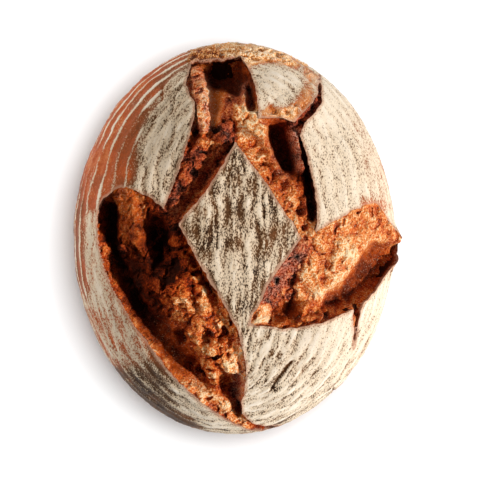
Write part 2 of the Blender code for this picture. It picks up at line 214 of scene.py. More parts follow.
# Looks of the crumb as (lightness, amber film, flour dust, raggedness): plain ones, and ones laid by soft
# strokes of (path, half width, looks). Lightness is partly the crumb's own tone and partly painted light:
# low as painted shade in holes, hollows and shadow bands, and high as painted highlight on some lit ridges.
# Flour dust is real dust, and on those ridges' edges also a painted highlight.
CRUMB_PLAIN = (0.45, 0.1, 0.0, 0.7)
CRUMB_STROKES = [
    ([(50, -2), (66, 4), (86, 10)], 9.0, (0.64, 0.0, 0.10, 0.55)),
    ([(50, -26), (61, -22), (70, -8)], 7.5, (0.80, 0.0, 0.10, 0.55)),
    ([(10, -50), (20, -45)], 4.0, (0.84, 0.0, 0.20, 0.7)),
    ([(26, -38), (36, -30)], 4.0, (0.62, 0.0, 0.15, 0.9)),
    # painted shade: a dark hollow beside the lower right lip
    ([(28, -44), (36, -43)], 3.5, (0.44, 0.8, 0.0, 0.6)),
    ([(22, -34), (32, -18), (41, -4)], 4.0, (0.34, 0.0, 0.50, 0.8)),
    ([(86, -8), (80, -16)], 4.0, (0.50, 0.8, 0.0, 0.3)),
    # painted shadow: the dark wedge that the lower right lip casts on the crumb
    ([(84, -16), (77, -25), (70, -32), (62, -38)], 4.0, (0.44, 0.95, 0.0, 0.3)),
    ([(98, -6), (91.5, -19), (83, -30), (75, -37)], 2.2, (0.56, 0.3, 0.0, 0.5)),
    ([(12, -114), (27, -115)], 3.0, (0.20, 0.4, 0.0, 0.6)),
    ([(68, -41), (54, -47), (42, -48)], 2.6, (0.52, 0.1, 0.05, 0.7)),
    ([(40, -38), (42, -46)], 2.0, (0.58, 0.2, 0.0, 0.4)),
    ([(-16, -42), (-7, -57), (-2, -70)], 7.0, (0.58, 0.0, 0.0, 0.9)),
    ([(-30, -44), (-20, -64), (-12, -80)], 7.0, (0.50, 0.1, 0.0, 1.0)),
    ([(-43, -30), (-32, -26)], 7.0, (0.24, 0.1, 0.0, 1.0)),
    # painted shade: a dark hollow in the lower left burst
    ([(-50, -8), (-45, -24)], 6.0, (0.12, 0.5, 0.0, 0.9)),
    ([(-40, -14), (-30, -10)], 5.0, (0.24, 0.2, 0.0, 1.0)),
    ([(4, -62), (5, -80), (4, -98)], 2.8, (0.56, 0.0, 0.70, 0.6)),
    ([(-66, 28), (-63, 14)], 5.0, (0.50, 0.8, 0.0, 0.7)),
    ([(-66, 4), (-60, 8), (-56, -8)], 5.0, (0.38, 0.7, 0.0, 0.9)),
    # painted shade: the black strip in the shadow of the left lip
    ([(-75, 16), (-75, 0), (-72, -14)], 3.0, (0.04, 0.7, 0.0, 0.4)),
    # painted shade: the dark hollow inside the left lip
    ([(-66, -22), (-58, -46)], 7.0, (0.26, 0.8, 0.0, 0.5)),
    ([(-52, -54), (-36, -70)], 7.0, (0.46, 0.9, 0.0, 0.3)),
    ([(-79, -4), (-72, -28), (-58, -54), (-40, -76)], 1.3, (0.50, 0.0, 0.0, 1.0)),
    ([(-24, -92), (-10, -104), (8, -112)], 4.0, (0.72, 0.1, 0.1, 0.8)),
    # painted shade: the black hole in the lower left burst
    ([(-46, 6), (-44, 12), (-38, 10)], 5.0, (0.14, 0.3, 0.0, 0.6)),
    ([(-14, 50), (-26, 34), (-34, 22)], 7.0, (0.36, 0.1, 0.12, 0.6)),
    ([(-24, 60), (-12, 57)], 4.0, (0.58, 0.2, 0.05, 1.0)),
    ([(-36, 22), (-34, 15)], 4.0, (0.50, 0.1, 0.25, 0.8)),
    ([(-25, 98), (-24, 84), (-22, 70)], 4.0, (0.68, 0.0, 0.50, 0.5)),
    # partly the torn edge's own pale colour, partly a painted highlight on the band's lit right edge
    ([(-18, 98), (-16.5, 84), (-16, 68)], 2.4, (0.80, 0.0, 1.00, 0.8)),
    ([(-11, 88), (-11.5, 74)], 4.5, (1.0, 1.0, 0.0, 0.1)),
    # painted shade: the dark hole in the top burst
    ([(-12, 99), (-2, 98), (3, 96)], 8.0, (0.36, 0.9, 0.0, 0.2)),
    ([(-2, 82), (-5, 64)], 4.5, (0.26, 0.1, 0.20, 1.0)),
    # painted light: this mass is painted lighter, as if lit
    ([(4, 76), (10, 67), (18, 58)], 6.0, (0.86, 0.0, 0.0, 0.4)),
    ([(7, 94), (7.5, 80)], 2.2, (0.60, 0.0, 0.80, 0.5)),
    ([(14, 48), (28, 24), (42, 6)], 6.0, (0.60, 0.1, 0.06, 0.8)),
    # painted highlight along a lit ridge, partly real flour dust
    ([(16, 68), (23, 52), (30, 38)], 2.2, (0.72, 0.0, 0.30, 0.6)),
    # painted shade: the black hole in the right burst
    ([(25, 60), (31, 46)], 6.0, (0.34, 0.8, 0.0, 0.3)),
    ([(36, 64), (41, 44)], 2.2, (0.50, 0.0, 0.80, 0.6)),
    # painted shadow: the dark band that the right panel's edge casts
    ([(43, 60), (47, 16)], 3.0, (0.16, 0.4, 0.0, 0.5)),
    ([(46, 24), (48, 8)], 2.4, (0.50, 0.0, 0.40, 0.6)),
    ([(-18, 105), (-2, 106)], 3.0, (0.60, 0.1, 0.0, 0.8)),
    ([(36, 70), (50, 86), (52, 99)], 3.0, (0.20, 0.0, 0.10, 0.5)),
    ([(73, -46), (72, -66)], 3.0, (0.62, 0.1, 0.20, 0.5)),
]

# Short deep slits left by the blade or torn by the rise: (path, half width, depth)
SLITS = [
    ([(34.5, -74), (28, -82), (22.5, -90)], 0.8, 1.8),
    ([(-43.5, 83), (-43, 91)], 0.6, 1.0),
    ([(-38, 75), (-35.5, 84)], 0.6, 1.0),
    ([(60, -90), (63, -99)], 0.6, 1.2),
    ([(84, 79), (93, 62)], 0.6, 1.4),
    ([(18, 12), (17, 26)], 0.6, 1.0),
    ([(-10, -6), (-11, 14)], 0.6, 1.0),
]


def smooth_path(points):
    """A Catmull-Rom curve through plan points."""
    points = np.array(points, float)
    padded = np.vstack([2 * points[0] - points[1], points, 2 * points[-1] - points[-2]])
    share = (np.arange(STEPS_BETWEEN_POINTS) / STEPS_BETWEEN_POINTS)[None, :, None]
    p0, p1, p2, p3 = (padded[i : len(padded) - 3 + i, None, :] for i in range(4))
    curve = 0.5 * (
        2 * p1
        + (p2 - p0) * share
        + (2 * p0 - 5 * p1 + 4 * p2 - p3) * share**2
        + (3 * p1 - p0 - 3 * p2 + p3) * share**3
    )
    return np.vstack([curve.reshape(-1, 2), points[-1:]])


def path_distance(places, path):
    """Shortest distance from each place to a chain of straight pieces.

    For each piece the nearest share along it is the dot product with it over its length squared, from 0 to
    1."""
    nearest = np.full(places.shape[:-1], np.inf)
    for start, end in zip(path[:-1], path[1:]):
        along = end - start
        from_start = places - start
        share = np.clip((from_start @ along) / max(along @ along, 1e-9), 0, 1)
        nearest = np.minimum(nearest, ((from_start - share[..., None] * along) ** 2).sum(-1))
    return np.sqrt(nearest)


def inside_path(places, path):
    """True for each place that a closed path goes round, by counting crossings of a ray along +X."""
    inside = np.zeros(places.shape[:-1], bool)
    x, y = places[..., 0], places[..., 1]
    for (x0, y0), (x1, y1) in zip(path, np.roll(path, -1, axis=0)):
        if y0 != y1:
            inside ^= ((y0 > y) != (y1 > y)) & (x < x0 + (y - y0) / (y1 - y0) * (x1 - x0))
    return inside


def soft_step(value, low, high):
    """0 below low, 1 above high, and 3t^2 - 2t^3 between."""
    t = np.clip((value - low) / (high - low), 0, 1)
    return t * t * (3 - 2 * t)


# ---------------------------------------------------------------- noise

def scattered(cell, salt):
    """A fixed random number from 0 to 1 for each cell of a lattice.

    The cell's numbers are multiplied by large odd ones, added, and mixed by shifts and products."""
    cell = cell.astype(np.int64).astype(np.uint32)
    mixed = cell[..., 0] * np.uint32(374761393) + cell[..., 1] * np.uint32(668265263)
    mixed += cell[..., 2] * np.uint32(2246822519) + np.uint32(salt * 974711 + 7)
    for shift, factor in ((15, 2146121005), (13, 2221713035)):
        mixed = (mixed ^ (mixed >> np.uint32(shift))) * np.uint32(factor)
    return (mixed ^ (mixed >> np.uint32(16))) / 2.0**32


def noise(places, size, salt=0):
    """Value noise from -1 to 1, from random values at the corners of cubes of this size.

    They are blended by 6t^5 - 15t^4 + 10t^3."""
    spot = places / size + 0.37 * salt
    cell = np.floor(spot)
    t = spot - cell
    t = t * t * t * (t * (t * 6 - 15) + 10)
    total = np.zeros(places.shape[:-1])
    for corner in np.ndindex(2, 2, 2):
        weight = np.prod(np.where(corner, t, 1 - t), axis=-1)
        total += weight * scattered(cell + corner, salt)
    return 2 * total - 1


def layered_noise(places, size, layers, salt=0):
    """Noise of this size, plus half of it at half the size, and so on."""
    return sum(noise(places, size / 2**i, salt + i) / 2**i for i in range(layers))


def ridged_noise(places, size, layers, salt=0):
    """1 - 2 |noise|, which has sharp crests, in layers of half the size and half the height."""
    return sum((1 - 2 * np.abs(noise(places, size / 2**i, salt + i))) / 2**i for i in range(layers))


def nearest_seed(places, size, salt=0):
    """Distance to the nearest of one random seed in each cube of this size, as a share of its side."""
    spot = places / size
    cell = np.floor(spot)
    nearest = np.full(places.shape[:-1], np.inf)
    for step in np.ndindex(3, 3, 3):
        near_cell = cell + (np.array(step) - 1)
        seed = near_cell + np.stack([scattered(near_cell, salt + i) for i in range(3)], axis=-1)
        nearest = np.minimum(nearest, ((seed - spot) ** 2).sum(-1))
    return np.sqrt(nearest)


# ---------------------------------------------------------------- the loaf's own form

def loaf_section():
    """The loaf's half section from top to base: distances along it, shares of the outline and heights.

    The crown's height is waist + (top - waist) sqrt(1 - share^2.25), the foot is a superellipse of power
    2.2, and the base is flat. Distances on the grid are shorter on the foot and base, for fewer rows."""
    crown = np.linspace(0, math.pi / 2, CROWN_STEPS)
    foot = np.linspace(0, math.pi / 2, FOOT_STEPS)[1:]
    base = np.linspace(BASE_SHARE, CAP_SHARE, BASE_STEPS)[1:]
    foot_shares = BASE_SHARE + (1 - BASE_SHARE) * np.abs(np.cos(foot)) ** (2 / FOOT_POWER)
    shares = [np.sin(crown), foot_shares, base]
    heights = [
        WAIST + (TOP - WAIST) * np.sqrt(np.clip(1 - np.sin(crown) ** CROWN_POWER, 0, 1)),
        WAIST * (1 - np.sin(foot) ** (2 / FOOT_POWER)),
        0 * base,
    ]
    share, height = np.concatenate(shares), np.concatenate(heights)
    lengths = np.hypot(MEAN_RADIUS * np.diff(share), np.diff(height))
    closeness = np.repeat([1.0, 0.6, 0.25], [len(crown) - 1, len(foot), len(base)])
    along = np.concatenate([[0], np.cumsum(lengths)])
    on_grid = np.concatenate([[0], np.cumsum(lengths * closeness)])
    return along, on_grid, share, height


SECTION_ALONG, SECTION_GRID, SECTION_SHARE, SECTION_HEIGHT = loaf_section()
OVAL = np.array([HALF_WIDTH, HALF_LENGTH]) / MEAN_RADIUS


def flat_from_grid(grid):
    """Flat places of grid places: the same on the crown, and farther out on the foot and base."""
    reach = np.hypot(grid[..., 0] / OVAL[0], grid[..., 1] / OVAL[1])
    along = np.interp(reach, SECTION_GRID, SECTION_ALONG)
    return grid * (along / np.maximum(reach, 1e-9))[..., None]


def flat_from_plan(plan):
    """Flat places of plan places on the crown: moved out to their distance along the skin."""
    share = np.hypot(plan[..., 0] / HALF_WIDTH, plan[..., 1] / HALF_LENGTH)
    crown = SECTION_HEIGHT >= WAIST
    along = np.interp(share, SECTION_SHARE[crown], SECTION_ALONG[crown])
    return plan * (along / np.maximum(share * MEAN_RADIUS, 1e-9))[..., None]


def dome(flat):
    """Places and outward directions of the plain loaf for flat places."""
    along = np.hypot(flat[..., 0] / OVAL[0], flat[..., 1] / OVAL[1])
    heading = np.arctan2(flat[..., 1] / OVAL[1], flat[..., 0] / OVAL[0])
    share = np.interp(along, SECTION_ALONG, SECTION_SHARE)
    height = np.interp(along, SECTION_ALONG, SECTION_HEIGHT)
    opening_out = np.interp(along, SECTION_ALONG, np.gradient(SECTION_SHARE, SECTION_ALONG))
    falling = -np.interp(along, SECTION_ALONG, np.gradient(SECTION_HEIGHT, SECTION_ALONG))
    east, north = np.cos(heading), np.sin(heading)
    places = np.stack([share * HALF_WIDTH * east, share * HALF_LENGTH * north, height], axis=-1)
    outward = np.stack(
        [falling * HALF_LENGTH * east, falling * HALF_WIDTH * north, opening_out * HALF_WIDTH * HALF_LENGTH],
        axis=-1,
    )
    return places, outward / np.linalg.norm(outward, axis=-1, keepdims=True)


def level_places(flat):
    """Places with a third number, 0, for noise on a flat sheet."""
    return np.concatenate([flat, np.zeros(flat.shape[:-1] + (1,))], axis=-1)


def rise_and_swell(plan, share):
    """Heights added to the crown: the largest ear that reaches a place, and the loaf's slow unevenness."""
    lift = np.zeros(plan.shape[:-1])
    for path, rise, reach in EARS:
        lift = np.maximum(lift, rise * np.exp(-((path_distance(plan, smooth_path(path)) / reach) ** 2)))
    swell = SWELL_HEIGHT * noise(level_places(plan), SWELL_SIZE, 3)
    return (lift + 0.5 * swell) * np.clip((1 - share) / 0.15, 0.35, 1)


def lean_of_flap(places):
    """The flap's lean at the lower right lip's end, fading as exp(-(distance / reach)^2)."""
    away = np.linalg.norm(places - FLAP_MIDDLE, axis=-1)
    return np.exp(-((away / FLAP_REACH) ** 2))[..., None] * FLAP_LEAN


def ring_place(flat):
    """Where a flat place lies among the basket's rings: across them and along them, in millimetres.

    The rings are ovals with the same two foci, at +-RING_FOCUS along Y. Across is an oval's smaller half
    axis, and along is RING_RADIAN for each radian round it."""
    x, y = flat[..., 0], flat[..., 1]
    s = x**2 + y**2 - RING_FOCUS**2
    across = np.sqrt(np.maximum((s + np.sqrt(s**2 + 4 * RING_FOCUS**2 * x**2)) / 2, 0))
    along = RING_RADIAN * np.arcsin(np.clip(y / np.sqrt(across**2 + RING_FOCUS**2), -1, 1))
    return across, along


def painted(plan, strokes, plain):
    """Values laid by soft strokes: their mean, each weighted by exp(-(distance / half width)^2).

    The plain values weigh 0.02 everywhere, so they show only where no stroke reaches."""
    total = np.full(plan.shape[:-1], 0.02)
    values = 0.02 * np.ones(plan.shape[:-1] + (1,)) * np.array(plain)
    for path, half_width, stroke_values in strokes:
        weight = np.exp(-((path_distance(plan, smooth_path(path)) / half_width) ** 2))
        total += weight
        values += weight[..., None] * np.array(stroke_values)
    return values / total[..., None]


# ---------------------------------------------------------------- the opening and its edge

def opening_stretches():
    """The stretches of the opening's edge as flat curves, each from the corner before it to its own."""
    corners = [points[-1] for _, points in OPENING.values()]
    stretches = [points for _, points in OPENING.values()]
    curves = [smooth_path([corners[i - 1]] + points) for i, points in enumerate(stretches)]
    return [flat_from_plan(curve) for curve in curves]


def edge_fields(flat):
    """Signed distance to the opening's edge, above 0 on the crust, and the crumb's depth where it meets it.

    The depth is the mean of the stretches' depths, weighted by 1 / distance^3. A little noise makes the edge
    ragged."""
    curves = opening_stretches()
    distances = np.stack([path_distance(flat, curve) for curve in curves])
    weights = 1 / (distances + 0.5) ** 3
    depths = np.array([depth for depth, _ in OPENING.values()])
    edge_depth = np.tensordot(depths, weights, axes=1) / weights.sum(axis=0)
    loop = np.vstack([curve[:-1] for curve in curves])
    side = np.where(inside_path(flat, loop), -1.0, 1.0)
    flat_places = level_places(flat)
    ragged = 0.55 * noise(flat_places, 5.0, 11) + 0.45 * noise(flat_places, 2.2, 12)
    return side * distances.min(axis=0) + ragged, edge_depth


def grid_of(step, half_sizes):
    """A square grid of places round the centre."""
    counts = [int(np.ceil(half / step)) for half in half_sizes]
    axes = [np.arange(-count, count + 1) * step for count in counts]
    return np.stack(np.meshgrid(*axes, indexing="ij"), axis=-1)


def snapped(grid, level, step):
    """Grid places within half a step of where the level is 0, moved onto it down its slope."""
    slope = np.stack(np.gradient(level, step), axis=-1)
    steepness = np.maximum((slope**2).sum(-1), 0.2)
    near = np.abs(level) < 0.5 * step * np.sqrt(steepness)
    shift = np.where(near, level / steepness, 0)[..., None] * slope
    return grid - shift, np.where(near, 0.0, level)


def grid_triangles(kept, level):
    """Two triangles for each cell whose corners are all kept, and one where three are.

    A cell's diagonal never joins places on the two sides of where the level is 0."""
    index = np.arange(kept.size).reshape(kept.shape)
    a, b, c, d = (part.ravel() for part in (index[:-1, :-1], index[1:, :-1], index[1:, 1:], index[:-1, 1:]))
    kept, level = kept.ravel(), level.ravel()
    other = (level[a] * level[c] < 0) | ~kept[a] | ~kept[c]
    first = np.where(other[:, None], np.stack([a, b, d], 1), np.stack([a, b, c], 1))
    second = np.where(other[:, None], np.stack([b, c, d], 1), np.stack([a, c, d], 1))
    both = np.concatenate([first, second])
    return both[kept[both].all(axis=1)]


def open_edges(triangles):
    """The directed edges that no other triangle shares."""
    edges = np.concatenate([triangles[:, [0, 1]], triangles[:, [1, 2]], triangles[:, [2, 0]]])
    count = triangles.max() + 1
    codes, back_codes = edges[:, 0] * count + edges[:, 1], edges[:, 1] * count + edges[:, 0]
    return edges[~np.isin(codes, back_codes)]


def without_loose(places, triangles, values):
    """Drops the places that no triangle uses, and their values."""
    used, renumbered = np.unique(triangles, return_inverse=True)
    values = {name: array[used] for name, array in values.items()}
    return places[used], renumbered.reshape(triangles.shape), values


def piece_from(name, places, triangles, values, material):
    """A smooth-shaded mesh object from places in millimetres, with named values for its vertices."""
    places, triangles, values = without_loose(places, triangles, values)
    mesh = bpy.data.meshes.new(name)
    mesh.from_pydata(places * MM, [], triangles)
    for value_name, array in values.items():
        layer = mesh.attributes.new(value_name, "FLOAT", "POINT")
        layer.data.foreach_set("value", np.clip(array, 0, 1).astype(np.float32))
    mesh.materials.append(material)
    mesh.shade_smooth()
    mesh.set_sharp_from_angle(angle=math.radians(65))
    piece = bpy.data.objects.new(name, mesh)
    bpy.context.scene.collection.objects.link(piece)
    return piece


# ---------------------------------------------------------------- crust

# How the crust folds under inside the opening: distance in from the edge, move back outwards, and depth
FOLD_IN = [0.0, 0.9, 2.0, 3.5, 6.0, 9.0, 13.0]
FOLD_OUT = [0.0, 1.2, 4.5, 10.0, 12.5, 5.0, 0.0]
FOLD_DEPTH = [0.0, 2.2, 3.2, 12.0, 34.0, 50.0, 52.0]


def fold_under(flat, level, step):
    """Moves the grid inside the opening: a rim about 2 mm thick, back under the crust, then down to a floor.

    The move is along the slope of the level, by amounts between the fold's listed ones."""
    slope = np.stack(np.gradient(level, step), axis=-1)
    outward = slope / np.maximum(np.linalg.norm(slope, axis=-1, keepdims=True), 0.3)
    inside = np.maximum(-level, 0)
    depth = np.interp(inside, FOLD_IN, FOLD_DEPTH)
    shift = np.interp(inside, FOLD_IN, FOLD_OUT)
    return flat + shift[..., None] * outward, depth


def crust_looks(plan, flat, height):
    """Flour, darkness and torn share of the crust, the ring wave and the streaks, for whole arrays.

    The ring wave is cos(2 pi across / pitch), with the rings' places pushed about by slow noise. Down the
    sides the strokes are pushed about by noise and fade into the plain looks."""
    flat_places = level_places(flat)
    push = np.stack([noise(flat_places, 10.0, 37), noise(flat_places, 10.0, 38)], axis=-1)
    push *= 10.0 * soft_step(height, 60.0, 40.0)[..., None]
    strokes = painted(plan + push, CRUST_STROKES, CRUST_PLAIN)
    fading = soft_step(height + 8.0 * noise(flat_places, 12.0, 34), 20.0, 48.0)[..., None]
    strokes = np.array(CRUST_PLAIN) + (strokes - CRUST_PLAIN) * fading
    flour, dark, torn, streaky = np.moveaxis(strokes, -1, 0)
    torn = torn * soft_step(height + 9.0 * noise(flat_places, 14.0, 35), 26.0, 44.0)
    across, along = ring_place(flat)
    wobble = 1.8 * noise(flat_places, 26.0, 21) + 1.0 * noise(flat_places, 9.0, 22)
    wave = np.cos(2 * math.pi * (across + wobble) / RING_PITCH)
    wobble += 0.5 * noise(flat_places, 3.6, 29)
    stripe_places = np.dstack([across + wobble, along / 6.0, 0 * across])
    streaks = 1.1 * noise(stripe_places, 1.3, 23) + 0.45 * noise(stripe_places, 3.0, 24)
    streaks = streaky * (streaks - 0.9 * soft_step(noise(stripe_places, 2.4, 28), 0.45, 0.8))
    lines = soft_step(wave + 0.6 * noise(stripe_places, 5.0, 26), 0.55, 1.0)
    lines *= soft_step(flour, 0.5, 0.3) * soft_step(dark, 0.9, 0.6)
    flour = flour + 0.22 * (1 - dark) * noise(flat_places, 11.0, 27) * soft_step(flour, 0.9, 0.6)
    ragged = torn + 0.25 * noise(flat_places, 3.0, 25) + 0.25 * noise(flat_places, 11.0, 36)
    torn = torn * soft_step(ragged, 0.35, 0.65)
    return np.clip(flour + 0.75 * lines, 0, 1), dark, torn, wave, streaks


def slit_depth(plan):
    """Depth of the short slits, each depth exp(-(distance / half width)^2)."""
    depth = np.zeros(plan.shape[:-1])
    for path, half_width, deepest in SLITS:
        distance = path_distance(plan, smooth_path(path))
        depth = np.maximum(depth, deepest * np.exp(-((distance / half_width) ** 2)))
    return depth


def crust_piece(material):
    """The whole crust: dome + outward x relief, made of rings, streaks, slits, scabs and noise.

    The part of the base inside the grid is a fan of triangles round its centre."""
    reach = SECTION_GRID[-1]
    grid = grid_of(CRUST_STEP, reach * OVAL + 2 * CRUST_STEP)
    to_border = reach - np.hypot(grid[..., 0] / OVAL[0], grid[..., 1] / OVAL[1])
    grid, to_border = snapped(grid, to_border, CRUST_STEP)
    level, _ = edge_fields(flat_from_grid(grid))
    grid, level = snapped(grid, level, CRUST_STEP)
    flat = flat_from_grid(grid)

    folded, fold_depth = fold_under(flat, level, CRUST_STEP)
    places, outward = dome(folded)
    plan = places[..., :2]
    share = np.hypot(plan[..., 0] / HALF_WIDTH, plan[..., 1] / HALF_LENGTH)
    along = np.hypot(folded[..., 0] / OVAL[0], folded[..., 1] / OVAL[1])
    on_crown = along < SECTION_ALONG[CROWN_STEPS - 1]

    flour, dark, torn, wave, streaks = crust_looks(plan, folded, places[..., 2])
    slits = slit_depth(plan)
    above_base = soft_step(places[..., 2], 0.5, 6.0)
    relief = 0.22 * wave + 0.22 * streaks + 0.20 * layered_noise(places, 3.0, 2, 31)
    warped = places + 2.4 * np.stack([noise(places, 6.5, 71 + i) for i in range(3)], axis=-1)
    scabs = ridged_noise(warped, 4.2, 3, 32)
    relief += torn * (1.3 * scabs - 0.8) - slits
    relief += 0.6 * noise(places, 16.0, 33)
    relief = relief * above_base - 0.6
    places = places + outward * (relief - fold_depth)[..., None]
    places[..., 2] += np.where(on_crown, rise_and_swell(plan, share), 0)
    places = places + lean_of_flap(places)

    rim = np.clip(-level / 4, 0, 1)
    near_edge = soft_step(level, 2.1, 0.8) * (level >= 0)
    kept = to_border >= 0
    triangles = grid_triangles(kept, level)
    border = open_edges(triangles)
    flat_places = places.reshape(-1, 3)
    flat_places[np.unique(border), 2] = 0
    centre = len(flat_places)
    flat_places = np.vstack([flat_places, [[0, 0, 0]]])
    fan = np.column_stack([border[:, 1], border[:, 0], np.full(len(border), centre)])
    values = {
        "flour": flour, "dark": dark, "torn": torn, "rim": rim, "near_edge": near_edge,
        "wave": 0.5 + 0.5 * wave, "streaks": 0.5 + 0.35 * streaks, "slits": slits / 2.0,
        "scabs": 0.5 + 0.35 * scabs,
    }
    values = {name: np.append(array.ravel(), array.ravel()[border[0, 0]]) for name, array in values.items()}
    return piece_from("crust", flat_places, np.concatenate([triangles, fan]), values, material)


# ---------------------------------------------------------------- crumb

def torn_bumps(places, rough):
    """Height of the tears: chunks that meet in creases, in three sizes, with noise, shreds and deep pores.

    A chunk is 1/3 - (distance to the nearest seed)^2, at places pushed about by slower noise."""
    warped = places + 2.4 * np.stack([noise(places, 6.0, 61 + i) for i in range(3)], axis=-1)
    chunks = sum(
        height * (0.33 - nearest_seed(warped, size, salt) ** 2)
        for size, height, salt in ((9.0, 4.6, 41), (4.4, 2.8, 43), (2.4, 1.4, 44))
    )
    shreds = 1.2 * noise(warped, 14.0, 42) + 0.8 * ridged_noise(warped, 3.2, 1, 45)
    shreds += 0.9 * noise(warped, 1.4, 46)
    pores = 3.0 * soft_step(noise(warped, 4.5, 47), 0.40, 0.60)
    return rough * (chunks + shreds - pores)


def crumb_piece(material):
    """The torn crumb: the dome lowered by edge depth, valley, trenches and ridges, then broken up by noise.

    It is lowered along outward + CRUMB_UPWARD up, made one long, so that it goes nearly straight down. The
    valley is VALLEY_DEPTH (1 - exp(-inside / VALLEY_WIDTH)). Each trench adds
    depth exp(-(distance / width)^3), and DEEPEST tanh(depth / DEEPEST) keeps the sum from going deeper."""
    grid = grid_of(CRUMB_STEP, CRUMB_REACH * OVAL)
    level, _ = edge_fields(grid)
    grid, tucked = snapped(grid, CRUMB_TUCK - level, CRUMB_STEP)
    kept = tucked >= 0
    triangles = grid_triangles(kept, tucked)
    triangles = (np.cumsum(kept.ravel()) - 1)[triangles]
    flat = grid[kept]
    level, edge_depth = edge_fields(flat)
    inside, under = np.maximum(-level, 0), np.maximum(level, 0)

    places, outward = dome(flat)
    plan = places[:, :2]
    share = np.hypot(plan[:, 0] / HALF_WIDTH, plan[:, 1] / HALF_LENGTH)
    fall = 1 - np.exp(-inside / VALLEY_WIDTH)
    depth = edge_depth * (1 - fall) + VALLEY_DEPTH * fall + 1.3 * under
    relief_share = soft_step(inside, -2.0, 3.0)
    for path, half_width, change in CRUMB_RELIEF:
        distance = path_distance(plan, smooth_path(path))
        depth += relief_share * change * np.exp(-((distance / half_width) ** 3))
    depth = np.maximum(DEEPEST * np.tanh(depth / DEEPEST), 1.0)

    light, amber, dust_and_highlight, rough = painted(plan, CRUMB_STROKES, CRUMB_PLAIN).T
    rough = rough * soft_step(inside, -1.5, 2.0)
    bumps = torn_bumps(places, rough)
    upward = outward + np.array([0.0, 0.0, CRUMB_UPWARD])
    upward /= np.linalg.norm(upward, axis=1, keepdims=True)
    places = places + upward * (bumps - depth)[:, None]
    places[:, 2] += rise_and_swell(plan, share)
    sideways = np.stack([noise(places, 3.0, 51 + i) for i in range(3)], axis=-1)
    places = places + CRUMB_SIDEWAYS * rough[:, None] * sideways + lean_of_flap(places)

    border = open_edges(triangles)
    floor, floor_outward = dome(flat)
    floor = floor - floor_outward * CRUMB_THICKNESS
    floor[:, 2] = np.minimum(floor[:, 2], places[:, 2] - CRUMB_THINNEST)
    count = len(places)
    i, j = border[:, 0], border[:, 1]
    walls = [np.column_stack([j, i, i + count]), np.column_stack([j, i + count, j + count])]
    triangles = np.concatenate([triangles, triangles[:, ::-1] + count, *walls])
    # The depth value below is painted shade: it darkens the crumb's colour where the tear is deep
    values = {
        "light": light, "amber": amber, "dust_and_highlight": dust_and_highlight,
        # The crest value lightens the colour on the tears' crests and darkens it in their creases: painted
        # light and shade
        "crest_light_crease_shade": 0.5 + bumps / 7, "depth_shade": np.clip((depth - 8) / 24, 0, 1),
    }
    values = {name: np.tile(array, 2) for name, array in values.items()}
    return piece_from("torn_crumb", np.vstack([places, floor]), triangles, values, material)


# ---------------------------------------------------------------- materials

def colour(code):
    """Linear red, green, blue and alpha from an sRGB hex code."""
    parts = [int(code[i : i + 2], 16) / 255 for i in (1, 3, 5)]
    return (*(p / 12.92 if p <= 0.04045 else ((p + 0.055) / 1.055) ** 2.4 for p in parts), 1.0)


def add_node(tree, kind, inputs=(), output=0, stops=(), **settings):
    """Adds a node and returns one of its outputs.

    Inputs gives each socket, by number or name, a value or another node's output."""
    made = tree.nodes.new("ShaderNode" + kind)
    for name, value in settings.items():
        setattr(made, name, value)
    for socket, value in inputs.items() if isinstance(inputs, dict) else enumerate(inputs):
        if isinstance(value, bpy.types.NodeSocket):
            tree.links.new(value, made.inputs[socket])
        else:
            made.inputs[socket].default_value = value
    if stops:
        ramp = made.color_ramp.elements
        while len(ramp) < len(stops):
            ramp.new(1.0)
        for stop, (position, code) in zip(ramp, stops):
            stop.position = position
            stop.color = colour(code)
    return made.outputs[output] if made.outputs else None


def per_mm(size):
    """Texture scale whose features are this many millimetres across, on coordinates in metres."""
    return 1 / (size * MM)


def new_material(name):
    """An empty node material and its node tree."""
    material = bpy.data.materials.new(name)
    material.use_nodes = True
    material.node_tree.nodes.clear()
    return material, material.node_tree


